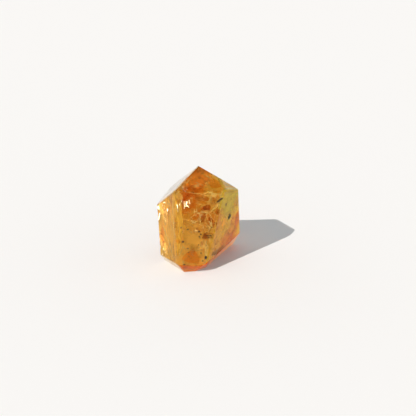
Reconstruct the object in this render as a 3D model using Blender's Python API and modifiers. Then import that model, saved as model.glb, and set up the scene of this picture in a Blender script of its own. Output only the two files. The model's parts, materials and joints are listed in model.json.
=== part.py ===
"""Citrine crystal point.

One polished crystal of yellow-orange quartz that stands on a flat ground base. It is a
six-sided prism, a little irregular as natural quartz is, closed at the top by a point of
five facets and at the foot by four undercut heel facets.

The crystal is made as a lapidary makes it: an oversize six-sided rod is ground back to one
flat facet after another, and then the sharp edges are eased. Angles are in degrees and
lengths in millimetres, and the mesh is built in metres. Azimuth 0 faces the viewer at the
front (-Y) and turns towards +X.
"""

import math
from collections import namedtuple

import bmesh
import bpy
from mathutils import Vector

MM = 0.001

# Driving dimensions.
APEX = Vector((-0.1, -2.2, 45.6))
WAIST_HEIGHT = 20.0
EDGE_EASING = 0.18
EDGE_SEGMENTS = 2
SHARPEST_FLAT_ANGLE = 12.0
ROUGH_RADIUS = 60.0
ROUGH_HEIGHT = 80.0
SAME_POINT = 0.005

# A prism face leans inwards as it rises where lean is positive, and overhangs where it is
# negative. Reach is its distance from the upright axis at the waist.
PrismFace = namedtuple("PrismFace", "azimuth lean reach")
PRISM = {
    "front": PrismFace(12.0, 7.5, 12.6),
    "right": PrismFace(54.0, -5.0, 12.5),
    "back_right": PrismFace(111.0, 7.2, 18.5),
    "back": PrismFace(180.0, 0.3, 15.15),
    "back_left": PrismFace(253.5, -5.0, 15.9),
    "left": PrismFace(305.0, 2.0, 16.7),
}

# Four facets of the point meet at the apex. The shoulder facet stands off from it, so it
# only cuts the prism's right shoulder. Slope is measured from level.
PointFacet = namedtuple("PointFacet", "azimuth slope stand_off")
POINT = {
    "front": PointFacet(18.0, 47.5, 0.0),
    "back_right": PointFacet(123.0, 36.5, 0.0),
    "back": PointFacet(184.0, 38.9, 0.0),
    "left": PointFacet(254.7, 45.7, 0.0),
    "shoulder": PointFacet(72.0, 51.5, 4.4),
}

# A heel facet undercuts the foot. Undercut is measured from upright, and reach is the
# distance from the upright axis to the edge where the facet meets the base.
HeelFacet = namedtuple("HeelFacet", "azimuth undercut reach")
HEEL = {
    "front": HeelFacet(7.5, 34.2, 12.3),
    "corner": HeelFacet(39.5, 44.8, 8.7),
    "right": HeelFacet(61.5, 34.5, 6.9),
    "left": HeelFacet(306.7, 40.0, 13.1),
}


def clear_scene():
    for obj in list(bpy.data.objects):
        bpy.data.objects.remove(obj, do_unlink=True)


def direction(azimuth, elevation):
    """The unit vector at this azimuth, raised by elevation from level."""
    turn = math.radians(azimuth)
    rise = math.radians(elevation)
    return Vector(
        (
            math.sin(turn) * math.cos(rise),
            -math.cos(turn) * math.cos(rise),
            math.sin(rise),
        )
    )


def rough_rod():
    """The oversize six-sided rod, standing on the base plane."""
    rod = bmesh.new()
    bmesh.ops.create_cone(
        rod,
        cap_ends=True,
        segments=len(PRISM),
        radius1=ROUGH_RADIUS * MM,
        radius2=ROUGH_RADIUS * MM,
        depth=ROUGH_HEIGHT * MM,
    )
    bmesh.ops.translate(rod, verts=rod.verts, vec=(0.0, 0.0, ROUGH_HEIGHT * MM / 2))
    return rod


def grind(stone, point, outward):
    """Take away all that lies past the plane through point, and close the flat that it leaves."""
    cut = bmesh.ops.bisect_plane(
        stone,
        geom=stone.verts[:] + stone.edges[:] + stone.faces[:],
        dist=SAME_POINT * MM,
        plane_co=point * MM,
        plane_no=outward,
        clear_outer=True,
    )
    rim = [item for item in cut["geom_cut"] if isinstance(item, bmesh.types.BMEdge)]
    bmesh.ops.edgeloop_fill(stone, edges=rim)


def grind_prism(stone):
    for face in PRISM.values():
        on_face = direction(face.azimuth, 0.0) * face.reach
        on_face.z = WAIST_HEIGHT
        grind(stone, on_face, direction(face.azimuth, face.lean))


def grind_point(stone):
    for facet in POINT.values():
        outward = direction(facet.azimuth, 90.0 - facet.slope)
        grind(stone, APEX + outward * facet.stand_off, outward)


def grind_heel(stone):
    for facet in HEEL.values():
        on_base = direction(facet.azimuth, 0.0) * facet.reach
        grind(stone, on_base, direction(facet.azimuth, -facet.undercut))


def centre_over_origin(stone):
    """Put the middle of the stone's length and width over the origin."""
    across = [vert.co.x for vert in stone.verts]
    along = [vert.co.y for vert in stone.verts]
    middle = Vector((max(across) + min(across), max(along) + min(along), 0.0)) / 2
    bmesh.ops.translate(stone, verts=stone.verts, vec=-middle)


def citrine_material():
    material = bpy.data.materials.new("citrine")
    material.use_nodes = True
    shader = material.node_tree.nodes["Principled BSDF"]
    shader.inputs["Base Color"].default_value = (0.86, 0.45, 0.11, 1.0)
    shader.inputs["Roughness"].default_value = 0.03
    shader.inputs["Metallic"].default_value = 0.0
    shader.inputs["IOR"].default_value = 1.55
    shader.inputs["Transmission Weight"].default_value = 1.0
    return material


def ease_edges(crystal):
    """Round the polished edges by a hair, as handling and the polishing wheel do."""
    easing = crystal.modifiers.new("edge_easing", "BEVEL")
    easing.width = EDGE_EASING * MM
    easing.segments = EDGE_SEGMENTS
    easing.limit_method = "ANGLE"
    easing.angle_limit = math.radians(SHARPEST_FLAT_ANGLE)


def build_crystal(collection):
    stone = rough_rod()
    grind_prism(stone)
    grind_point(stone)
    grind_heel(stone)
    centre_over_origin(stone)
    bmesh.ops.recalc_face_normals(stone, faces=stone.faces)
    mesh = bpy.data.meshes.new("crystal_point")
    stone.to_mesh(mesh)
    stone.free()
    mesh.materials.append(citrine_material())
    crystal = bpy.data.objects.new("crystal_point", mesh)
    collection.objects.link(crystal)
    ease_edges(crystal)


def main():
    clear_scene()
    collection = bpy.data.collections.new("citrine_crystal_point")
    bpy.context.scene.collection.children.link(collection)
    build_crystal(collection)


main()
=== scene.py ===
"""The looks of a citrine crystal point: its polished body, what grew inside it, and a plain stage."""
import json
import math
import random

import bmesh
import bpy
from bpy.props import FloatProperty, FloatVectorProperty, PointerProperty
from mathutils import Matrix, Vector, noise

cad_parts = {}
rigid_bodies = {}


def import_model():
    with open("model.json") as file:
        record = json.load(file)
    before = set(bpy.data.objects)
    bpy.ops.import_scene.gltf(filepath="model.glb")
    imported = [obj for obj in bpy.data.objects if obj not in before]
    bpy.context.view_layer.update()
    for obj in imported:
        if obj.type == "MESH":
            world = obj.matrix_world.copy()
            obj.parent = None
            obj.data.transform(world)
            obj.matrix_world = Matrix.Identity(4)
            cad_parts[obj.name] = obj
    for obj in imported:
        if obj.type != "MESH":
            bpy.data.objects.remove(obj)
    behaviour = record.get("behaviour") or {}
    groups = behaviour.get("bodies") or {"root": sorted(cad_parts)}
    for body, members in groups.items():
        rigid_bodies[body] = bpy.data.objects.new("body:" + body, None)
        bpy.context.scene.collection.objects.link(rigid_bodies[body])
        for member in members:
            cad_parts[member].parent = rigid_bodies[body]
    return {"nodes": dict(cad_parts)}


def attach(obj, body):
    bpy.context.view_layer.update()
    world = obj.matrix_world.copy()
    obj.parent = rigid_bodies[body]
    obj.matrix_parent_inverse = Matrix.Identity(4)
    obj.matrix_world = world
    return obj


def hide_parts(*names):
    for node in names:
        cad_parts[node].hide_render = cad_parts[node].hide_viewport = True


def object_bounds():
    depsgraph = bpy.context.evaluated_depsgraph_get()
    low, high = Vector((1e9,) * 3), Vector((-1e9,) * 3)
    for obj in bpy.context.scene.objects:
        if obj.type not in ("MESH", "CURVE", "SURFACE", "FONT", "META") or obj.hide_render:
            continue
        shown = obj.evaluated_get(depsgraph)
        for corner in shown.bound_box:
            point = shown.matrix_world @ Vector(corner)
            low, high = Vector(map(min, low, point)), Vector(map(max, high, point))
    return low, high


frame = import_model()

bl_info = {
    "name": "Citrine crystal point",
    "version": (1, 0, 0),
    "blender": (4, 5, 0),
    "location": "View3D > Sidebar > Citrine",
    "description": "Dresses the crystal point's solid as polished citrine and sets a plain studio stage",
    "category": "Object",
}

CAD_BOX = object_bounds()
# Rows of places and sizes below are in millimetres, and angles in degrees.
MM = 0.001
NODE = "crystal_point"
# Points nearer than this are one point.
FUSE = 0.001 * MM
# How far behind the facets every inclusion stops.
CLEARANCE = 0.25 * MM
# A crack turned less than this to a side and tilted between these would mirror the lamp at the viewer.
GLARE_AZIMUTH, GLARE_TILTS = 12, (18, 34)
# Azimuths run round from the front, and heights up from level.
SUN_AZIMUTH, SUN_HEIGHT = -45.4, 38.9
SOFTBOX_AZIMUTH, SOFTBOX_HEIGHT, SOFTBOX_AWAY = -45, 39, 0.7
CAMERA_PLACE = (-0.00209, -0.3708, 0.185)
CAMERA_DIP, CAMERA_SWING, CAMERA_LENS = 23.32, -0.92, 79.4


def linear(hex_colour):
    """A linear RGBA colour from an sRGB hex value such as #E8A33D."""
    digits = hex_colour.lstrip("#")
    shares = [int(digits[at:at + 2], 16) / 255 for at in (0, 2, 4)]
    return tuple(c / 12.92 if c <= 0.04045 else ((c + 0.055) / 1.055) ** 2.4 for c in shares) + (1.0,)


def add_node(tree, kind, place=(0, 0), links=(), **settings):
    """Add a shader node. A setting named in_X sets the input X, and any other is the node's own property."""
    node = tree.nodes.new(kind)
    node.location = place
    for name, value in settings.items():
        if name.startswith("in_"):
            node.inputs[name[3:].replace("_", " ")].default_value = value
        else:
            setattr(node, name, value)
    for source, target in links:
        tree.links.new(source, node.inputs[target])
    return node


def new_material(name):
    """An empty material and its node tree."""
    material = bpy.data.materials.new(name)
    material.use_nodes = True
    material.node_tree.nodes.clear()
    return material, material.node_tree


def from_bmesh(name, bm):
    """An object of the scene with this mesh."""
    mesh = bpy.data.meshes.new(name)
    bm.to_mesh(mesh)
    bm.free()
    piece = bpy.data.objects.new(name, mesh)
    bpy.context.scene.collection.objects.link(piece)
    return piece


class CitrineLooks(bpy.types.PropertyGroup):
    ior: FloatProperty(name="IOR", description="Refractive index of quartz", default=1.55)
    colour: FloatVectorProperty(
        name="Colour", description="What the quartz lets through", subtype="COLOR", min=0.0, max=1.0,
        default=(0.867, 0.653, 0.02),
    )
    density: FloatProperty(name="Depth of colour", description="Absorption density per metre", default=150.0)


class StageLooks(bpy.types.PropertyGroup):
    sun_strength: FloatProperty(name="Sun", description="Strength of the hard light", default=3.01)
    sky_strength: FloatProperty(
        name="Ceiling", description="Strength of the even light from overhead", default=0.16,
    )
    wall_strength: FloatProperty(
        name="Walls", description="Strength of the even light from the sides", default=1.35,
    )
    softbox_power: FloatProperty(
        name="Softbox", description="Power of the large lamp beside the stone", default=4.0, unit="POWER",
    )


def solid_copy():
    """A merged copy of the solid, with its facets whole."""
    bm = bmesh.new()
    bm.from_mesh(frame["nodes"][NODE].data)
    bmesh.ops.remove_doubles(bm, verts=bm.verts, dist=FUSE)
    bmesh.ops.dissolve_limit(bm, angle_limit=math.radians(0.5), verts=bm.verts, edges=bm.edges)
    return bm


def facet_planes():
    """A point and the outward normal of every facet, without the narrow strips that ease the edges."""
    bm = solid_copy()
    least_facet = 5 * MM * MM
    planes = [
        (face.calc_center_median(), face.normal.copy()) for face in bm.faces if face.calc_area() > least_facet
    ]
    bm.free()
    return planes


def facing(azimuth, tilt):
    """The direction at an azimuth round from the front and a tilt above level, in degrees."""
    azimuth, tilt = math.radians(azimuth), math.radians(tilt)
    return Vector((math.sin(azimuth) * math.cos(tilt), -math.cos(azimuth) * math.cos(tilt), math.sin(tilt)))


def settle(bm, at, azimuth, tilt, roll):
    """Turn a flat shape from +Z to its facing and move it to its place in the crystal."""
    turn = facing(azimuth, tilt).to_track_quat("Z", "Y").to_matrix().to_4x4()
    turn = turn @ Matrix.Rotation(math.radians(roll), 4, "Z")
    bmesh.ops.transform(bm, matrix=Matrix.Translation(Vector(at) * MM) @ turn, verts=bm.verts)


def trim(bm, planes):
    """Cut off whatever comes nearer to the facets than the clearance."""
    for point, normal in planes:
        bmesh.ops.bisect_plane(
            bm, geom=bm.verts[:] + bm.edges[:] + bm.faces[:], dist=FUSE, plane_co=point - normal * CLEARANCE,
            plane_no=normal, clear_outer=True,
        )


def patch(at, azimuth, tilt, roll, width, height, bend, ripple, seed, cells=30):
    """A sheet of a fracture. Its weight fades from 1 to 0 over the outer half, so that its rim is ragged."""
    bm = bmesh.new()
    fade_layer = bm.verts.layers.float.new("fade")
    bmesh.ops.create_grid(bm, x_segments=cells, y_segments=cells, size=1.0)
    outside = []
    for vert in bm.verts:
        x, y = vert.co.x, vert.co.y
        reach = math.hypot(x, y)
        vert[fade_layer] = max(0.0, min(1.0, (1.0 - reach) / 0.5))
        if reach > 1.0:
            outside.append(vert)
        slow = noise.noise((1.3 * x + seed, 1.3 * y, 3.1))
        fine = noise.noise((4.0 * x, 4.0 * y + seed, 9.7))
        waves = slow + 0.35 * fine
        vert.co = Vector((x * width / 2, y * height / 2, bend * (x * x + y * y) + ripple * waves)) * MM
    bmesh.ops.delete(bm, geom=outside, context="VERTS")
    settle(bm, at, azimuth, tilt, roll)
    return bm


def shard(at, azimuth, tilt, roll, width, height, bend, corners, seed):
    """An angular flake of a crack, dished by bend and swept to one side."""
    bm = bmesh.new()
    fade_layer = bm.verts.layers.float.new("fade")
    draw = random.Random(seed)
    bmesh.ops.create_circle(bm, cap_ends=True, cap_tris=True, segments=corners, radius=1.0)
    for vert in bm.verts:
        vert.co *= draw.uniform(0.6, 1.15)
    bmesh.ops.subdivide_edges(bm, edges=bm.edges, cuts=2, use_grid_fill=True)
    for vert in bm.verts:
        x, y = vert.co.x, vert.co.y
        vert[fade_layer] = 1.0
        vert.co = Vector(((x + 0.35 * y * y) * width / 2, y * height / 2, bend * (x * x + y * y))) * MM
    settle(bm, at, azimuth, tilt, roll)
    return bm


def streak(start, end, width):
    """A fine seam from start to end that faces the front and tapers to its ends."""
    start, end = Vector(start), Vector(end)
    along = end - start
    side = along.cross(Vector((0.0, -1.0, 0.0))).normalized()
    bm = bmesh.new()
    fade_layer = bm.verts.layers.float.new("fade")
    bmesh.ops.create_grid(bm, x_segments=2, y_segments=14, size=1.0)
    for vert in bm.verts:
        across, run = vert.co.x, 0.5 + 0.5 * vert.co.y
        drift = 0.03 * along.length * noise.noise(start + along * run * 0.5)
        half = 0.5 * width * (0.25 + 0.75 * math.sin(math.pi * run) ** 0.5)
        vert[fade_layer] = 1.0
        vert.co = (start + along * run + side * (across * half + drift)) * MM
    return bm


def inclusions(name, shape, rows, material):
    """One piece from rows of patches, shards or streaks."""
    planes = facet_planes()
    whole = bmesh.new()
    whole.verts.layers.float.new("fade")
    for row in rows:
        bm = shape(*row)
        trim(bm, planes)
        mesh = bpy.data.meshes.new(name)
        bm.to_mesh(mesh)
        bm.free()
        whole.from_mesh(mesh)
        bpy.data.meshes.remove(mesh)
    piece = from_bmesh(name, whole)
    piece.data.shade_smooth()
    piece.data.materials.append(material)
    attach(piece, "root")
    return piece


def maths(tree, operation, first, second=0.0):
    """The result of a Math node on two numbers or outputs."""
    node = add_node(tree, "ShaderNodeMath", operation=operation)
    for at, value in enumerate((first, second)):
        if isinstance(value, (int, float)):
            node.inputs[at].default_value = value
        else:
            tree.links.new(value, node.inputs[at])
    return node.outputs[0]


def ramp(tree, value, low, high, bottom=0.0, top=1.0):
    """A value between low and high, brought to between bottom and top."""
    return add_node(
        tree, "ShaderNodeMapRange", (-300, 0), ((value, "Value"),), in_From_Min=low, in_From_Max=high,
        in_To_Min=bottom, in_To_Max=top,
    ).outputs[0]


def strongest(tree, first, *others):
    """The greatest of several masks."""
    for other in others:
        first = maths(tree, "MAXIMUM", first, other)
    return first


def warped(tree, grain, stretch=1.0):
    """Object coordinates in units of `grain` mm, drawn out upwards by stretch and bent by a slow noise."""
    coords = add_node(tree, "ShaderNodeTexCoord", (-1700, 0)).outputs["Object"]
    per_grain = 1 / (grain * MM)
    coords = add_node(
        tree, "ShaderNodeMapping", (-1500, 0), ((coords, "Vector"),),
        in_Scale=(per_grain, per_grain, per_grain / stretch),
    ).outputs[0]
    bend = add_node(
        tree, "ShaderNodeTexNoise", (-1300, -200), ((coords, "Vector"),), in_Scale=0.8, in_Detail=2.0,
    ).outputs["Color"]
    # A Mix node's vector inputs are its fifth and sixth, and its vector result is its second.
    return add_node(
        tree, "ShaderNodeMix", (-1100, 0), ((coords, 4), (bend, 5)), data_type="VECTOR", in_Factor=0.35,
    ).outputs[1]


def blots(tree, grain, cover, sharp, strength=1.0, stretch=1.0, ragged=0.45):
    """A mask of ragged blots about `grain` mm wide, which thin out towards the rim."""
    spots = add_node(
        tree, "ShaderNodeTexNoise", (-600, 0), ((warped(tree, grain, stretch), "Vector"),),
        in_Scale=1.0, in_Detail=7.0, in_Roughness=0.65,
    ).outputs["Fac"]
    rim = maths(tree, "MULTIPLY", maths(tree, "SUBTRACT", 1.0, fade(tree)), ragged)
    middle = 0.5 - 0.35 * (cover - 0.5)
    return ramp(tree, maths(tree, "SUBTRACT", spots, rim), middle - sharp, middle + sharp, 0.0, strength)


def threads(tree, grain, width, strength, stretch=1.0):
    """A mask of fine wandering lines, `grain` mm apart."""
    drift = add_node(
        tree, "ShaderNodeTexNoise", (-600, 0), ((warped(tree, grain, stretch), "Vector"),),
        in_Scale=1.0, in_Detail=2.5, in_Roughness=0.55,
    ).outputs["Fac"]
    away = maths(tree, "ABSOLUTE", maths(tree, "SUBTRACT", drift, 0.5))
    return ramp(tree, away, 0.0, width, strength, 0.0)


def seams(tree, grain, width, strength):
    """A mask of fine straight-sided seams between cells `grain` mm wide, with gaps in them."""
    cells = add_node(
        tree, "ShaderNodeTexVoronoi", (-600, 0), ((warped(tree, grain), "Vector"),),
        feature="DISTANCE_TO_EDGE", in_Scale=1.0,
    ).outputs["Distance"]
    lines = ramp(tree, cells, 0.0, width, strength, 0.0)
    return maths(tree, "MULTIPLY", lines, blots(tree, grain, 0.6, 0.05))


def fade(tree):
    """The weight that each inclusion carries: 1 in its middle, and 0 at the rim of a patch."""
    return add_node(tree, "ShaderNodeAttribute", (-300, -400), attribute_name="fade").outputs["Fac"]


def soft_rim(tree, mask):
    """The mask, brought to nothing at the very rim."""
    return maths(tree, "MULTIPLY", mask, ramp(tree, fade(tree), 0.0, 0.3))


def citrine():
    """Polished citrine: honey where the light's way through is short, amber where it is long, and glossy."""
    looks = bpy.context.scene.citrine_looks
    material, tree = new_material("citrine_quartz")
    out = add_node(tree, "ShaderNodeOutputMaterial", (600, 0))
    coords = add_node(tree, "ShaderNodeTexCoord", (-900, 0)).outputs["Object"]
    # Polishing left the gloss a little uneven, in patches about 4 mm wide.
    polish = add_node(
        tree, "ShaderNodeTexNoise", (-600, 0), ((coords, "Vector"),), in_Scale=1 / (4 * MM), in_Detail=6.0,
    ).outputs["Fac"]
    rough = ramp(tree, polish, 0.35, 0.75, 0.01, 0.05)
    surface = add_node(
        tree, "ShaderNodeBsdfPrincipled", (200, 100), ((rough, "Roughness"),), in_Base_Color=(1, 1, 1, 1),
        in_IOR=looks.ior, in_Transmission_Weight=1.0, in_Specular_Tint=linear("#F2B866"),
    )
    volume = add_node(
        tree, "ShaderNodeVolumeAbsorption", (200, -300), in_Color=(*looks.colour, 1.0),
        in_Density=looks.density,
    )
    tree.links.new(surface.outputs[0], out.inputs["Surface"])
    tree.links.new(volume.outputs[0], out.inputs["Volume"])
    return material


def mineral_film(name, colour, mask, through_share=0.25):
    """A thin skin of grains that scatters light, some of it to the far side."""
    material, tree = new_material(name)
    out = add_node(tree, "ShaderNodeOutputMaterial", (900, 0))
    front = add_node(tree, "ShaderNodeBsdfDiffuse", (300, -200), in_Color=linear(colour))
    through = add_node(tree, "ShaderNodeBsdfTranslucent", (300, -350), in_Color=linear(colour))
    # A Mix Shader's inputs are the share, what shows at 0 and what shows at 1.
    grains = add_node(
        tree, "ShaderNodeMixShader", (500, -200), ((front.outputs[0], 1), (through.outputs[0], 2)),
        in_Fac=through_share,
    )
    clear = add_node(tree, "ShaderNodeBsdfTransparent", (500, 100))
    mixed = add_node(
        tree, "ShaderNodeMixShader", (700, 0),
        ((soft_rim(tree, mask(tree)), 0), (clear.outputs[0], 1), (grains.outputs[0], 2)),
    )
    tree.links.new(mixed.outputs[0], out.inputs["Surface"])
    return material


def air_film(name, colour, roughness, mask):
    """A crack that holds air, which mirrors light from inside."""
    material, tree = new_material(name)
    out = add_node(tree, "ShaderNodeOutputMaterial", (900, 0))
    surface = add_node(
        tree, "ShaderNodeBsdfPrincipled", (500, 0), ((soft_rim(tree, mask(tree)), "Alpha"),),
        in_Base_Color=linear(colour), in_Roughness=roughness, in_Metallic=1.0,
    )
    tree.links.new(surface.outputs[0], out.inputs["Surface"])
    return material


def stain(name, colour, cover, grain, sharp, flake_size=3.0, least=0.25):
    """A see-through tint in a fracture, broken into blots and angular flakes."""
    material, tree = new_material(name)
    out = add_node(tree, "ShaderNodeOutputMaterial", (900, 0))
    flakes = add_node(
        tree, "ShaderNodeTexVoronoi", (-600, -300), ((warped(tree, flake_size), "Vector"),), in_Scale=1.0,
    ).outputs["Color"]
    flake = add_node(tree, "ShaderNodeSeparateColor", (-450, -300), ((flakes, 0),)).outputs[0]
    share = maths(tree, "MULTIPLY", blots(tree, grain, cover, sharp), ramp(tree, flake, 0.0, 1.0, least, 1.0))
    tint = add_node(tree, "ShaderNodeMix", (200, 0), ((soft_rim(tree, share), "Factor"),), data_type="RGBA")
    # A Mix node's colour inputs are its seventh and eighth, and its colour result is its third.
    tint.inputs[6].default_value = (1, 1, 1, 1)
    tint.inputs[7].default_value = linear(colour)
    clear = add_node(tree, "ShaderNodeBsdfTransparent", (500, 0), ((tint.outputs[2], "Color"),))
    tree.links.new(clear.outputs[0], out.inputs["Surface"])
    return material


def matt(name, colour, roughness, gloss=0.5):
    """A plain rough surface: a grain of dark mineral, or the floor."""
    material, tree = new_material(name)
    out = add_node(tree, "ShaderNodeOutputMaterial", (300, 0))
    surface = add_node(
        tree, "ShaderNodeBsdfPrincipled", in_Base_Color=linear(colour), in_Roughness=roughness,
        in_Specular_IOR_Level=gloss,
    )
    tree.links.new(surface.outputs[0], out.inputs["Surface"])
    return material


def cut_lattice(bm, step):
    """Score every face along an even lattice, so that the large facets have points to bend at."""
    low, high = (Vector(corner) for corner in CAD_BOX)
    for axis in range(3):
        across = Vector([float(axis == along) for along in range(3)])
        at = low[axis] + step
        while at < high[axis]:
            bmesh.ops.bisect_plane(
                bm, geom=bm.verts[:] + bm.edges[:] + bm.faces[:], dist=FUSE, plane_co=across * at,
                plane_no=across,
            )
            at += step
    bmesh.ops.triangulate(bm, faces=bm.faces)
    bm.normal_update()


def polish_waves(bm, depth):
    """Sink the polished facets by the slow, shallow waves of hand polishing. The base stays flat."""
    for vert in bm.verts:
        if vert.normal.z < -0.8:
            continue
        place = vert.co / MM
        slow = noise.noise(place / 6.0)
        fine = noise.noise(place / 2.2 + Vector((7, 3, 1)))
        wave = 0.5 + 0.5 * slow + 0.35 * fine
        vert.co -= vert.normal * depth * max(0.0, wave)


def chip(bm, at, radius):
    """Bite a small uneven hollow out of an edge, with finer faces round it to carry its shape."""
    near = [edge for edge in bm.edges if min((vert.co - at).length for vert in edge.verts) < 1.3 * radius]
    bmesh.ops.subdivide_edges(bm, edges=near, cuts=4, use_grid_fill=True)
    bmesh.ops.triangulate(bm, faces=[face for face in bm.faces if len(face.verts) > 3])
    for vert in bm.verts:
        away = vert.co - at
        bite = radius * (1.0 + 0.15 * noise.noise(vert.co / (1.1 * MM)))
        if away.length < bite:
            vert.co = at + away.normalized() * bite


class CITRINE_OT_crystal(bpy.types.Operator):
    """Make the polished body in place of the plain solid"""
    bl_idname = "citrine.crystal"
    bl_label = "Polished crystal"

    def execute(self, context):
        bm = solid_copy()
        cut_lattice(bm, step=0.9 * MM)
        polish_waves(bm, depth=0.09 * MM)
        chips = [
            # middle of the ball that bites the edge, its radius
            ((-19.56, -2.69, 23.96), 1.6), ((-19.02, -3.24, 19.47), 1.2), ((-18.80, -4.28, 11.97), 1.4),
            ((-18.91, -4.80, 8.46), 1.8), ((-11.14, -13.32, 33.08), 1.0), ((-10.71, -14.38, 24.07), 0.9),
            ((-10.35, -15.86, 14.10), 1.2), ((-10.00, -16.16, 9.06), 0.8), ((9.25, -9.77, 28.02), 1.0),
            ((6.52, -11.74, 17.02), 0.9), ((18.68, 3.50, 25.02), 1.2), ((18.94, 5.50, 16.02), 1.0),
            ((-5.81, -11.78, 38.01), 1.2), ((11.01, -5.53, 38.55), 1.0),
            ((-7.12, -8.16, 41.64), 0.9), ((-13.17, 16.91, 19.94), 1.5), ((15.30, 16.86, 12.08), 1.3),
            ((-1.97, 16.84, 32.06), 1.3), ((13.29, 16.58, 26.06), 1.0), ((-11.96, 16.71, 8.95), 1.1),
        ]
        for at, radius in chips:
            chip(bm, Vector(at) * MM, radius * MM)
        piece = from_bmesh("citrine_crystal", bm)
        piece.data.shade_smooth()
        normals = piece.modifiers.new("facet_normals", "WEIGHTED_NORMAL")
        normals.weight = 100
        piece.data.materials.append(citrine())
        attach(piece, "root")
        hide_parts(NODE)
        return {"FINISHED"}


class CITRINE_OT_veils(bpy.types.Operator):
    """Add the pale healed fractures, and the pale films and seams that paint glare on edge-on facets and
    highlights on edges
    """
    bl_idname = "citrine.veils"
    bl_label = "Veils"

    def execute(self, context):
        rows = [
            # middle, azimuth, tilt, roll, width, height, bend, ripple, seed
            ((4.81, -7.2, 25.7), -10, 25, 20, 15, 17, 1.5, 0.6, 1.0),
            ((2.61, -10.4, 9.5), 25, 15, 5, 8, 18, 0.8, 0.5, 2.0),
            ((1.71, -7.5, 21.2), 10, 50, -15, 26, 14, 1.0, 0.8, 3.0),
            ((-6.99, -12, 8.5), -20, 20, 30, 12, 12, 0.8, 0.4, 4.0),
            ((7.01, -6.2, 33.6), 30, 60, 0, 14, 10, 0.5, 0.4, 5.0),
            ((1.71, -1.3, 39.2), 0, 45, 10, 12, 10, 0.5, 0.4, 6.0),
            ((11.41, 0.5, 25.5), 50, -5, 0, 11, 15, 0.5, 0.3, 7.0),
            ((-6.39, -8.8, 27.0), 0, 20, 30, 16, 20, 1.5, 0.8, 7.5),
            ((11.61, 1.2, 14.0), 54, -5, 0, 14, 18, 0.8, 0.4, 7.8),
        ]
        # Healed fractures show as pale seams, hairlines and a few flecks.
        inclusions("citrine_veils", patch, rows, mineral_film(
            "healed_fracture", "#FFF4BC",
            lambda tree: strongest(
                tree,
                seams(tree, grain=4.0, width=0.05, strength=0.9),
                threads(tree, grain=4.0, width=0.012, strength=0.6),
                blots(tree, grain=1.2, cover=0.0, sharp=0.1, strength=0.6),
            ),
        ))
        milky = [
            ((13.6, -0.9, 30.6), 54, -5, 0, 22, 22, 0.1, 0.2, 8.0),
            ((12.4, -0.1, 29.6), 54, -5, 0, 20, 19, 0.2, 0.2, 9.0),
        ]
        # The upper right facet looks milky, from fine cloudy quartz just behind it.
        inclusions("citrine_milky_veil", patch, milky, mineral_film(
            "milky_quartz", "#FFF8A8",
            lambda tree: blots(tree, grain=2.5, cover=1.0, sharp=0.25, strength=0.75),
        ))
        shoulder = [((14.45, -0.2, 33.7), 72, 38.5, 0, 30, 30, 0.1, 0.15, 9.5)]
        # A yellow bloom gives the small shoulder facet its flat olive gold.
        inclusions("citrine_shoulder_veil", patch, shoulder, mineral_film(
            "yellow_quartz", "#F2D060",
            lambda tree: blots(tree, grain=2.5, cover=1.5, sharp=0.2, strength=0.9),
        ))
        left = [
            ((-14.39, -5.2, 18), 305, 2, 0, 26, 60, 0.3, 0.2, 10.0),
            ((-12.99, -3.4, 26), 300, 5, 0, 18, 30, 0.3, 0.3, 10.5),
            ((-9.99, -12, 22.0), 12, 7, -3, 7, 40, 0.3, 0.3, 10.8),
        ]
        # Upright streaks behind the left facets catch the sun as bright gold.
        inclusions("citrine_left_veil", patch, left, mineral_film(
            "sunlit_veil", "#FFD460",
            lambda tree: blots(tree, grain=1.4, cover=0.9, sharp=0.15, strength=0.8, stretch=5.0),
        ))
        low = [
            ((-2.99, -11.7, 9.0), 12, 7, 0, 34, 36, 0.6, 0.4, 30.0),
        ]
        # The lower half is cloudier and lighter than the upper.
        inclusions("citrine_low_veil", patch, low, mineral_film(
            "cloudy_quartz", "#FFD070",
            lambda tree: blots(tree, grain=2.5, cover=1.0, sharp=0.2, strength=0.85),
        ))
        gold = [
            ((6.9, -8.0, 29.4), 12, 7, -45, 1.8, 6.1, 0.05, 6, 191),
            ((2.1, -9.5, 27.5), 12, 7, 5, 5.0, 1.5, 0.05, 7, 192),
            ((11.7, -1.9, 18.2), 54, -5, 0, 3.2, 5.6, 0.05, 6, 193),
            ((5.9, -7.8, 34.4), 12, 7, 0, 3.2, 2.0, 0.05, 7, 194),
            ((3.0, -12.0, 9.6), 20, 7, 5, 2.7, 12.1, 0.05, 6, 195),
            ((1.4, -11.8, 12.9), 12, 7, 0, 3.2, 4.6, 0.05, 7, 196),
            ((-14.7, -6.6, 23.0), 305, 2, 0, 3.2, 9.1, 0.05, 6, 197),
            ((-10.8, -11.3, 30.7), 12, 7, 2, 1.8, 17.2, 0.05, 7, 198),
            ((-12.5, -10.3, 12.7), 305, 2, 0, 1.4, 3.0, 0.05, 6, 199),
            ((4.9, -10.5, 15.6), 12, 7, 0, 3.2, 5.1, 0.05, 7, 200),
            ((-9.1, -10.6, 35.5), 12, 7, 30, 3.6, 5.1, 0.05, 6, 201),
            ((-1.5, -7.3, 38.4), 18, 42, 10, 3.6, 1.5, 0.05, 7, 202),
        ]
        # Lit flakes give short pale gold strokes and panels.
        inclusions("citrine_gold_flakes", shard, gold, mineral_film(
            "golden_quartz", "#FFD880",
            lambda tree: strongest(
                tree,
                blots(tree, grain=1.2, cover=0.9, sharp=0.2, strength=0.55),
                threads(tree, grain=1.5, width=0.03, strength=0.6),
            ),
        ))
        point = [
            ((-10.37, 0.69, 34.55), 254.7, 44.3, 0, 60, 60, 0.0, 0.1, 37.0),
            ((-11.43, -9.88, 3.18), 306.7, -40.0, 0, 40, 40, 0.0, 0.05, 38.0),
        ]
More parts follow.
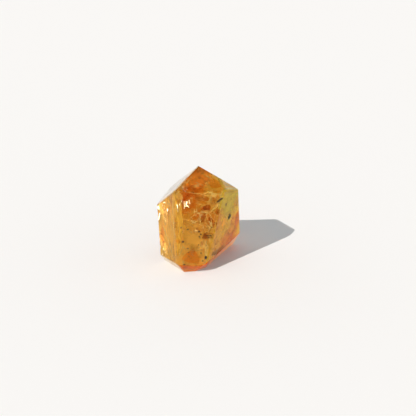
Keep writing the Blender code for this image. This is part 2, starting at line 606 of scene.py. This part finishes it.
        # A pale film just behind the facets seen nearly edge-on is a painted reflection: it makes them almost
        # white, as their glare at that grazing angle does.
        inclusions("citrine_point_veil", patch, point, mineral_film(
            "painted_glare_veil", "#FFF6DC",
            lambda tree: blots(tree, grain=2.2, cover=0.75, sharp=0.15, strength=0.8, stretch=2.5),
        ))
        apex = [
            ((-0.89, -3.3, 41.0), 18, 47, 0, 20, 16, 0.3, 0.3, 30.5),
        ]
        # Iron in the point makes it the deepest orange.
        inclusions("citrine_apex_veil", patch, apex, mineral_film(
            "rusty_quartz", "#F0963C",
            lambda tree: blots(tree, grain=2.0, cover=0.9, sharp=0.15, strength=0.85),
        ))
        seams_and_edge_glints = [
            # start, end, width
            # The first two rows paint the pale highlight along the front shoulder edge.
            ((-11.0, -6.9, 35.9), (9.9, -7.4, 34.9), 0.22), ((-5.7, -9.9, 37.0), (4.1, -8.2, 34.4), 0.25),
            ((-9.1, -12.3, 26.3), (-0.9, -11.0, 22.7), 0.22), ((-0.9, -11.0, 22.7), (6.7, -9.8, 19.4), 0.25),
            ((6.7, -9.8, 19.4), (13.8, 1.5, 12.4), 0.22), ((6.8, -9.3, 23.1), (6.5, -9.0, 15.9), 0.35),
            ((0.2, -10.2, 27.1), (0.3, -10.8, 22.6), 0.40), ((3.1, -9.5, 27.5), (2.6, -10.2, 23.1), 0.30),
            ((-6.6, -11.5, 28.2), (-3.6, -10.9, 28.1), 0.40),
            ((-11.3, -11.2, 27.8), (-10.0, -13.7, 16.2), 0.50),
            ((4.9, -9.4, 25.1), (5.2, -10.1, 20.1), 0.35), ((8.6, -6.0, 15.0), (5.9, -9.7, 14.5), 0.45),
            ((0.2, -10.1, 28.0), (4.1, -9.4, 26.7), 0.50), ((4.1, -9.4, 26.7), (8.6, -7.9, 30.9), 0.45),
            # The second row on the next line paints the pale glint along the bottom front edge.
            ((4.1, -9.4, 26.7), (6.2, -9.4, 23.6), 0.35), ((-7.9, -15.2, 4.8), (2.1, -12.0, 3.1), 0.60),
            ((2.9, -11.4, 15.1), (2.5, -13.0, 4.2), 0.50), ((-15.6, -5.7, 19.7), (-10.9, -13.2, 6.9), 0.50),
            ((-11.9, -10.6, 22.6), (-10.2, -14.0, 16.4), 0.40),
            ((-16.2, -4.8, 20.3), (-14.1, -8.1, 15.5), 0.35),
            ((-12.5, -9.3, 34.4), (-12.3, -10.3, 21.3), 0.30),
            ((-11.2, -11.2, 33.8), (-11.0, -12.1, 23.0), 0.30),
            ((-1.9, -9.8, 31.8), (1.1, -9.3, 30.9), 0.30), ((-4.1, -11.1, 25.4), (-0.2, -10.0, 27.5), 0.25),
            ((-7.6, -13.6, 13.8), (-5.9, -13.6, 11.2), 0.35), ((-5.9, -13.6, 11.2), (1.4, -12.1, 10.6), 0.25),
            ((-7.2, -13.6, 13.3), (-8.8, -14.5, 9.0), 0.35), ((-1.5, -6.0, 39.7), (2.4, -6.5, 37.8), 0.40),
            ((2.0, -5.7, 38.9), (4.6, -4.4, 39.3), 0.30), ((10.3, -7.2, 34.8), (16.3, 1.5, 32.9), 0.30),
            ((11.5, -5.0, 32.5), (11.8, -3.4, 24.8), 0.30), ((13.6, -1.7, 29.7), (13.9, -0.4, 23.9), 0.35),
            ((2.0, -2.6, 42.0), (6.3, -3.9, 39.3), 0.30), ((-3.1, -4.4, 41.9), (-5.7, -7.6, 39.5), 0.35),
            # The last row paints a short highlight on the right edge.
            ((16.3, 3.6, 20.4), (16.5, 4.2, 17.2), 0.90),
        ]
        # Single long seams draw thin, nearly straight pale lines; a few of them, along the front shoulder,
        # the bottom front edge and the right edge, are painted highlights on those edges.
        inclusions("citrine_seams", streak, seams_and_edge_glints, mineral_film(
            "quartz_seam_and_edge_glint", "#FFEE98",
            lambda tree: blots(tree, grain=0.7, cover=0.75, sharp=0.15, strength=0.6),
        ))
        return {"FINISHED"}


class CITRINE_OT_stains(bpy.types.Operator):
    """Add the orange iron films, and the deep orange tint that paints the light and shade under the stone on
    its undercut facets
    """
    bl_idname = "citrine.stains"
    bl_label = "Iron stains"

    def execute(self, context):
        rows = [
            # middle, azimuth, tilt, roll, width, height, bend, ripple, seed
            ((-5.99, -8.1, 31.9), 5, 15, 10, 18, 18, 1.0, 0.6, 11.0),
            ((-3.59, -4.9, 33.5), 15, 5, 0, 20, 16, 1.0, 0.8, 12.0),
            ((-1.69, -3.1, 38.6), 10, 40, 0, 16, 14, 0.6, 0.4, 13.0),
            ((2.91, -4.8, 24.5), 0, 15, 0, 14, 17, 1.0, 0.6, 16.0),
            ((-0.39, -1.8, 26.0), 5, 5, 0, 34, 34, 1.5, 1.0, 18.5),
        ]
        # A faint rust stain warms the middle of the stone in large soft blots.
        inclusions("citrine_iron_films", patch, rows, stain(
            "limonite_film", "#F8CC94", cover=0.62, grain=5.0, sharp=0.05, flake_size=3.0))
        flakes = [
            # middle, azimuth, tilt, roll, width, height, bend, corners, seed
            ((-2.0, -9.6, 25.6), 12, 7, 0, 5.0, 4.6, 0.05, 5, 181),
            ((-9.2, -13.5, 15.6), 12, 7, 0, 2.3, 2.5, 0.05, 6, 182),
            ((-4.3, -13.0, 7.8), 12, 7, 0, 10.4, 7.6, 0.05, 7, 183),
            ((-0.3, -4.5, 39.4), 18, 42, 0, 7.2, 8.1, 0.05, 5, 184),
            ((6.2, -3.9, 37.8), 18, 42, 30, 5.4, 7.1, 0.05, 7, 186),
            ((-15.9, -4.7, 14.0), 305, 2, 0, 3.6, 13.2, 0.05, 6, 188),
            ((11.1, -0.8, 11.2), 54, -5, -30, 6.3, 10.1, 0.05, 7, 189),
        ]
        # Limonite makes clear orange panels with straight sides.
        inclusions("citrine_rust_flakes", shard, flakes, stain(
            "limonite_flake", "#F6C890", cover=3.0, grain=2.0, sharp=0.3, flake_size=6.0, least=0.5))
        flakes = [
            # middle, azimuth, tilt, roll, width, height, bend, corners, seed
            ((2.7, -7.7, 32.7), 10, 7, 0, 2.9, 2.3, 0.05, 5, 171),
            ((3.1, -8.1, 29.2), 12, 7, 20, 4.1, 3.0, 0.05, 6, 172),
            ((1.5, -9.5, 24.6), 12, 7, -15, 2.5, 5.1, 0.05, 5, 173),
            ((7.5, -8.0, 26.7), 12, 7, 10, 2.5, 3.5, 0.05, 6, 174),
            ((6.3, -8.9, 21.4), 12, 7, -10, 2.0, 3.8, 0.05, 5, 175),
            ((4.4, -8.6, 23.2), 12, 7, 30, 2.7, 3.0, 0.05, 6, 176),
            ((1.0, -11.6, 13.8), 12, 7, 10, 0.9, 2.5, 0.05, 5, 177),
        ]
        # Goethite makes small darker panels between the seams.
        inclusions("citrine_brown_flakes", shard, flakes, stain(
            "goethite_flake", "#D4A474", cover=3.0, grain=2.0, sharp=0.3, flake_size=6.0, least=0.7))
        edge = [
            ((11.01, -0.5, 10.1), 54, -5, -35, 14, 36, 0.4, 0.3, 17.0),
            ((14.81, 2.2, 14.0), 60, -5, 0, 12, 40, 0.3, 0.3, 17.5),
        ]
        # The lower right is more orange than the rest of its facet.
        inclusions("citrine_edge_film", patch, edge, stain(
            "hematite_film", "#F6CC6C", cover=1.1, grain=5.0, sharp=0.1, flake_size=3.0))
        heel = [
            ((-4.21, -13.23, 2.33), 7.5, -34.2, 0, 30, 20, 0.0, 0.0, 17.9),
            ((1.52, -11.79, 2.79), 39.5, -44.8, 0, 30, 20, 0.0, 0.0, 17.92),
            ((11.05, 3.80, 3.16), 61.5, -34.5, 0, 80, 40, 0.0, 0.0, 17.95),
        ]
        # A deep orange tint on the undercut facets is painted light and shade: it stands in for the shade
        # under the stone and the orange light that comes through the stone onto the floor there.
        inclusions("citrine_heel_film", patch, heel, stain(
            "painted_underlight_tint", "#FFB418", cover=3.0, grain=5.0, sharp=0.3, flake_size=4.0, least=0.8))
        honey = [
            ((14.25, 0.40, 19.85), 54, -5, 0, 80, 90, 0.0, 0.05, 18.2),
        ]
        # The right facet is a pure honey yellow.
        inclusions("citrine_honey_film", patch, honey, stain(
            "honey_film", "#FFFF78", cover=3.0, grain=6.0, sharp=0.3, flake_size=6.0, least=0.75))
        amber = [
            ((14.9, 3.0, 8.0), 54, -5, 40, 16, 10, 0.0, 0.1, 18.4),
            ((16.9, 4.35, 17.5), 54, -5, 8, 5, 9, 0.0, 0.1, 18.5),
        ]
        # Amber stains darken the right facet's lower edge and its right edge.
        inclusions("citrine_amber_film", patch, amber, stain(
            "amber_film", "#F2C24C", cover=3.0, grain=5.0, sharp=0.3, flake_size=5.0, least=0.7))
        brown = [
            ((3.3, -10.7, 16.7), 12, 7.5, 0, 7, 4.6, 0.1, 0.2, 19.0),
        ]
        # One mottled brown patch stands beside the dark grains.
        inclusions("citrine_brown_patch", patch, brown, stain(
            "goethite_film", "#A8682A", cover=1.0, grain=0.9, sharp=0.06, flake_size=1.0))
        return {"FINISHED"}


def scattered_cracks():
    """Rows of small cracks, drawn at random in six parts of the crystal."""
    draw = random.Random(5)
    rows = []
    for middle, spread, count in (
        ((3.61, -3.8, 27.0), (5, 4, 7), 16),
        ((-4.39, -4.8, 33.0), (6, 3, 5), 12),
        ((0.61, -0.8, 39.0), (3, 2, 3), 7),
        ((-2.39, -6.8, 12.0), (9, 4, 8), 12),
        ((11.61, 3.2, 20.0), (3, 4, 9), 9),
        ((-11.4, -2.8, 20.0), (3, 4, 10), 9),
    ):
        for _ in range(count):
            at = tuple(mid + draw.uniform(-1, 1) * away for mid, away in zip(middle, spread))
            azimuth, tilt, roll = draw.uniform(-60, 60), draw.uniform(-25, 60), draw.uniform(0, 180)
            width, height = draw.uniform(1.5, 5.5), draw.uniform(1.5, 5.5)
            bend, corners, seed = draw.uniform(-0.3, 0.3), draw.randint(4, 7), draw.randint(0, 999)
            if abs(azimuth) < GLARE_AZIMUTH and GLARE_TILTS[0] < tilt < GLARE_TILTS[1]:
                continue
            rows.append((at, azimuth, tilt, roll, width, height, bend, corners, seed))
    return rows


class CITRINE_OT_cracks(bpy.types.Operator):
    """Add the cracks that hold air"""
    bl_idname = "citrine.cracks"
    bl_label = "Bright cracks"

    def execute(self, context):
        flashes = [
            # middle, azimuth, tilt, roll, width, height, bend, corners, seed
            ((-9.5, -11.4, 30.5), -9, 24, 12, 0.7, 4.6, 0.1, 12, 41),
            ((-7.6, -10.6, 33.0), -5, 24, 10, 0.6, 2.0, 0.1, 12, 42),
            ((-6.5, -10.7, 31.1), -4, 24, 5, 0.5, 4.0, 0.1, 12, 43),
            ((-5.7, -10.4, 31.5), -2, 24, -5, 1.2, 3.0, 0.1, 12, 44),
            ((-5.6, -10.5, 30.6), -2, 24, 20, 2.7, 0.7, 0.1, 12, 45),
            ((-4.4, -10.1, 32.2), 1, 24, 10, 0.6, 2.8, 0.1, 12, 46),
            ((-4.8, -10.4, 30.3), 0, 24, 40, 0.5, 2.0, 0.1, 12, 47),
            ((-8.5, -11.0, 31.5), -7, 24, -12, 0.4, 2.5, 0.1, 12, 48),
            ((-5.5, -8.9, 37.8), -2, 24, 20, 0.5, 0.7, 0.1, 12, 49),
            ((-5.9, -9.8, 37.0), -2, 24, 0, 0.6, 0.6, 0.1, 12, 50),
            ((-17.4, -2.3, 26.4), -40, 21, 10, 2.0, 2.8, 0.15, 9, 51),
            ((-13.4, -7.9, 27.7), -38, 21, 0, 1.2, 2.5, 0.15, 9, 52),
            ((-14.8, -6.0, 27.5), -38, 21, 0, 0.8, 0.9, 0.15, 9, 53),
            ((-14.7, -5.9, 30.4), -38, 21, 10, 2.0, 0.8, 0.15, 9, 54),
            ((-17.3, -2.8, 22.0), -40, 21, -4, 1.2, 5.1, 0.15, 9, 55),
            ((-15.6, -4.8, 28.4), -38, 21, 0, 0.6, 1.5, 0.15, 9, 56),
            ((-15.7, -5.9, 8.0), -40, 21, 20, 0.8, 1.5, 0.15, 9, 57),
            ((-14.8, -7.2, 7.1), -40, 21, 0, 0.7, 1.3, 0.15, 9, 58),
            ((-16.0, -5.7, 5.4), -40, 21, 10, 0.7, 1.5, 0.15, 9, 59),
            ((-15.3, -6.6, 4.7), -40, 21, 0, 0.7, 1.0, 0.15, 9, 60),
            ((-16.6, -4.5, 10.0), -40, 21, 0, 0.4, 1.0, 0.15, 9, 61),
            ((-14.1, -5.0, 32.1), -38, 21, -30, 0.5, 1.3, 0.15, 9, 62),
        ]
        # Cracks turned to the lamp flash cream white in short strokes.
        inclusions("citrine_flashes", shard, flashes, air_film(
            "open_crack", "#FFF4D0", 0.25,
            lambda tree: blots(tree, grain=1.0, cover=1.4, sharp=0.15),
        ))
        glow = [
            ((-14.99, -4.7, 27.0), -37, 22, 0, 12, 22, 0.4, 0.4, 61.0),
            ((-14.59, -5, 13.0), -37, 22, 0, 12, 24, 0.4, 0.4, 62.0),
            ((10.01, -2.7, 18.9), 5, 20, 0, 6, 11, 0.4, 0.2, 65.0),
        ]
        # Rough cracks spread the lamp's light into a soft golden sheen.
        inclusions("citrine_glow_films", patch, glow, air_film(
            "rough_crack", "#FFCC68", 0.45,
            lambda tree: blots(tree, grain=1.4, cover=0.8, sharp=0.15, strength=0.45, stretch=5.0),
        ))
        # Small closed cracks at every slant break up what is seen through the stone.
        inclusions("citrine_shards", shard, scattered_cracks(), air_film(
            "closed_crack", "#FFFCF2", 0.1,
            lambda tree: blots(tree, grain=2.0, cover=0.7, sharp=0.3, strength=0.5),
        ))
        return {"FINISHED"}


def specks(name, rows, material):
    """One piece of uneven grains."""
    bm = bmesh.new()
    for at, length, girth, roll in rows:
        grain = bmesh.ops.create_icosphere(bm, subdivisions=2, radius=1.0)["verts"]
        for vert in grain:
            vert.co *= 1.0 + 0.35 * noise.noise(vert.co * 1.7 + Vector(at))
        shape = Matrix.Diagonal((length * MM, girth * MM, girth * MM, 1))
        place = Matrix.Translation(Vector(at) * MM) @ Matrix.Rotation(math.radians(-roll), 4, "Y")
        bmesh.ops.transform(bm, matrix=place @ shape, verts=grain)
    piece = from_bmesh(name, bm)
    piece.data.shade_smooth()
    piece.data.materials.append(material)
    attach(piece, "root")
    return piece


class CITRINE_OT_specks(bpy.types.Operator):
    """Add the grains of dark mineral"""
    bl_idname = "citrine.specks"
    bl_label = "Dark specks"

    def execute(self, context):
        dark = [
            # middle, half its length, half its girth, roll
            ((8.1, -8.2, 31.8), 0.8, 0.42, 30), ((9.0, -7.9, 32.5), 0.8, 0.4, 40),
            ((9.7, -7.7, 33.0), 0.5, 0.35, 30), ((-0.2, -11.7, 19.2), 0.5, 0.38, 60),
            ((0.5, -11.7, 17.9), 0.4, 0.35, 20), ((-0.1, -12.0, 17.0), 0.33, 0.3, 0),
            ((0.2, -12.0, 16.3), 0.3, 0.25, 0), ((-7.2, -13.7, 15.3), 0.6, 0.42, 30),
            ((2.6, -12.7, 7.2), 0.55, 0.75, -10), ((-6.7, -15.0, 5.0), 0.5, 0.3, 10),
            ((3.4, -11.2, 17.0), 0.6, 0.25, 0), ((4.7, -10.9, 16.9), 0.5, 0.25, 10),
            ((3.9, -11.2, 16.2), 0.4, 0.2, 0), ((11.4, -4.9, 28.9), 0.2, 0.7, 5),
        ]
        green = [
            # middle, half its length, half its girth, roll
            ((-8.0, -12.9, 21.6), 0.5, 0.3, 0), ((-5.1, -12.4, 20.6), 0.6, 0.3, 10),
            ((-5.2, -13.6, 12.1), 0.4, 0.3, 0), ((5.1, -10.2, 20.4), 0.35, 0.3, 0),
            ((12.9, -1.4, 21.6), 0.85, 1.3, -20), ((-4.9, -13.7, 10.2), 0.3, 0.25, 0),
            ((-0.5, -12.4, 13.2), 0.3, 0.3, 0),
            ((0.6, -12.7, 9.4), 0.35, 0.3, 0), ((1.4, -13.0, 5.7), 0.4, 0.3, 0),
        ]
        # Goethite grains are nearly black, and chlorite grains a dull dark green.
        specks("citrine_goethite_specks", dark, matt("goethite", "#120A04", 0.6))
        specks("citrine_chlorite_specks", green, matt("chlorite", "#3E4020", 0.6))
        return {"FINISHED"}


def put(name, data):
    """An object of the scene for a lamp or a camera."""
    made = bpy.data.objects.new(name, data)
    bpy.context.scene.collection.objects.link(made)
    return made


def floor():
    """A wide sheet of matt white paper, a hair below the stone."""
    bm = bmesh.new()
    bmesh.ops.create_grid(bm, x_segments=1, y_segments=1, size=4.0)
    bmesh.ops.translate(bm, verts=bm.verts, vec=(0, 0, -0.05 * MM))
    sheet = from_bmesh("floor", bm)
    sheet.data.materials.append(matt("matt_white_paper", "#F4F4F3", 0.9, gloss=0.0))


def room():
    """Even light from a room whose walls are brighter than its ceiling."""
    looks = bpy.context.scene.stage_looks
    world = bpy.data.worlds.new("studio")
    world.use_nodes = True
    tree = world.node_tree
    backdrop = tree.nodes["Background"]
    direction = add_node(tree, "ShaderNodeTexCoord", (-800, 0)).outputs["Generated"]
    height = add_node(tree, "ShaderNodeSeparateXYZ", (-600, 0), ((direction, 0),)).outputs["Z"]
    strength = add_node(
        tree, "ShaderNodeMapRange", (-400, 0), ((height, "Value"),), interpolation_type="SMOOTHSTEP",
        in_From_Min=0.25, in_From_Max=0.75, in_To_Min=looks.wall_strength, in_To_Max=looks.sky_strength,
    )
    tree.links.new(strength.outputs[0], backdrop.inputs["Strength"])
    backdrop.inputs["Color"].default_value = (0.96, 1.0, 1.02, 1.0)
    bpy.context.scene.world = world


def softbox():
    """A large lamp at the front left that lights the stone's pieces and nothing else."""
    data = bpy.data.lights.new("softbox", "AREA")
    data.shape, data.size, data.size_y = "RECTANGLE", 0.5, 0.35
    data.energy = bpy.context.scene.stage_looks.softbox_power
    lamp = put("softbox", data)
    towards = facing(SOFTBOX_AZIMUTH, SOFTBOX_HEIGHT)
    lamp.location = towards * SOFTBOX_AWAY
    lamp.rotation_euler = towards.to_track_quat("Z", "Y").to_euler()
    lamp.visible_camera = False
    lit = bpy.data.collections.new("lit_by_softbox")
    for piece in bpy.data.objects:
        if piece.name.startswith("citrine_"):
            lit.objects.link(piece)
    lamp.light_linking.receiver_collection = lit


def sun():
    """A low hard light that throws the crisp shadow to the right."""
    data = bpy.data.lights.new("sun", "SUN")
    data.energy = bpy.context.scene.stage_looks.sun_strength
    data.angle = math.radians(0.6)
    data.color = (1.0, 0.936, 0.893)
    lamp = put("sun", data)
    towards = facing(SUN_AZIMUTH, SUN_HEIGHT)
    lamp.rotation_euler = (-towards).to_track_quat("-Z", "Y").to_euler()
    lamp.location = towards


def camera():
    """A long lens that looks down at the stone from the front."""
    data = bpy.data.cameras.new("camera")
    data.lens = CAMERA_LENS
    data.sensor_width = 36.0
    data.clip_start = 0.01
    made = put("camera", data)
    made.location = CAMERA_PLACE
    made.rotation_euler = (math.radians(90 - CAMERA_DIP), 0.0, math.radians(CAMERA_SWING))
    bpy.context.scene.camera = made


class CITRINE_OT_stage(bpy.types.Operator):
    """Set the floor, the lights and the camera"""
    bl_idname = "citrine.stage"
    bl_label = "Plain stage"

    def execute(self, context):
        floor()
        room()
        softbox()
        sun()
        camera()
        scene = context.scene
        scene.view_settings.view_transform = "Standard"
        # Light turns many times inside the stone before it comes out.
        scene.cycles.max_bounces = 24
        scene.cycles.transmission_bounces = 24
        scene.cycles.glossy_bounces = 12
        scene.cycles.transparent_max_bounces = 64
        return {"FINISHED"}


class CITRINE_PT_panel(bpy.types.Panel):
    """Everything that makes the crystal"""
    bl_idname = "CITRINE_PT_panel"
    bl_label = "Citrine crystal point"
    bl_space_type = "VIEW_3D"
    bl_region_type = "UI"
    bl_category = "Citrine"

    def draw(self, context):
        for operator in OPERATORS:
            self.layout.operator(operator.bl_idname)


OPERATORS = (
    CITRINE_OT_crystal, CITRINE_OT_veils, CITRINE_OT_stains, CITRINE_OT_cracks, CITRINE_OT_specks,
    CITRINE_OT_stage,
)
CLASSES = (CitrineLooks, StageLooks) + OPERATORS + (CITRINE_PT_panel,)


def register():
    for cls in CLASSES:
        bpy.utils.register_class(cls)
    bpy.types.Scene.citrine_looks = PointerProperty(type=CitrineLooks)
    bpy.types.Scene.stage_looks = PointerProperty(type=StageLooks)


def unregister():
    del bpy.types.Scene.citrine_looks
    del bpy.types.Scene.stage_looks
    for cls in reversed(CLASSES):
        bpy.utils.unregister_class(cls)


def main():
    register()
    bpy.ops.citrine.crystal()
    bpy.ops.citrine.veils()
    bpy.ops.citrine.stains()
    bpy.ops.citrine.cracks()
    bpy.ops.citrine.specks()
    bpy.ops.citrine.stage()


if __name__ == "__main__":
    main()
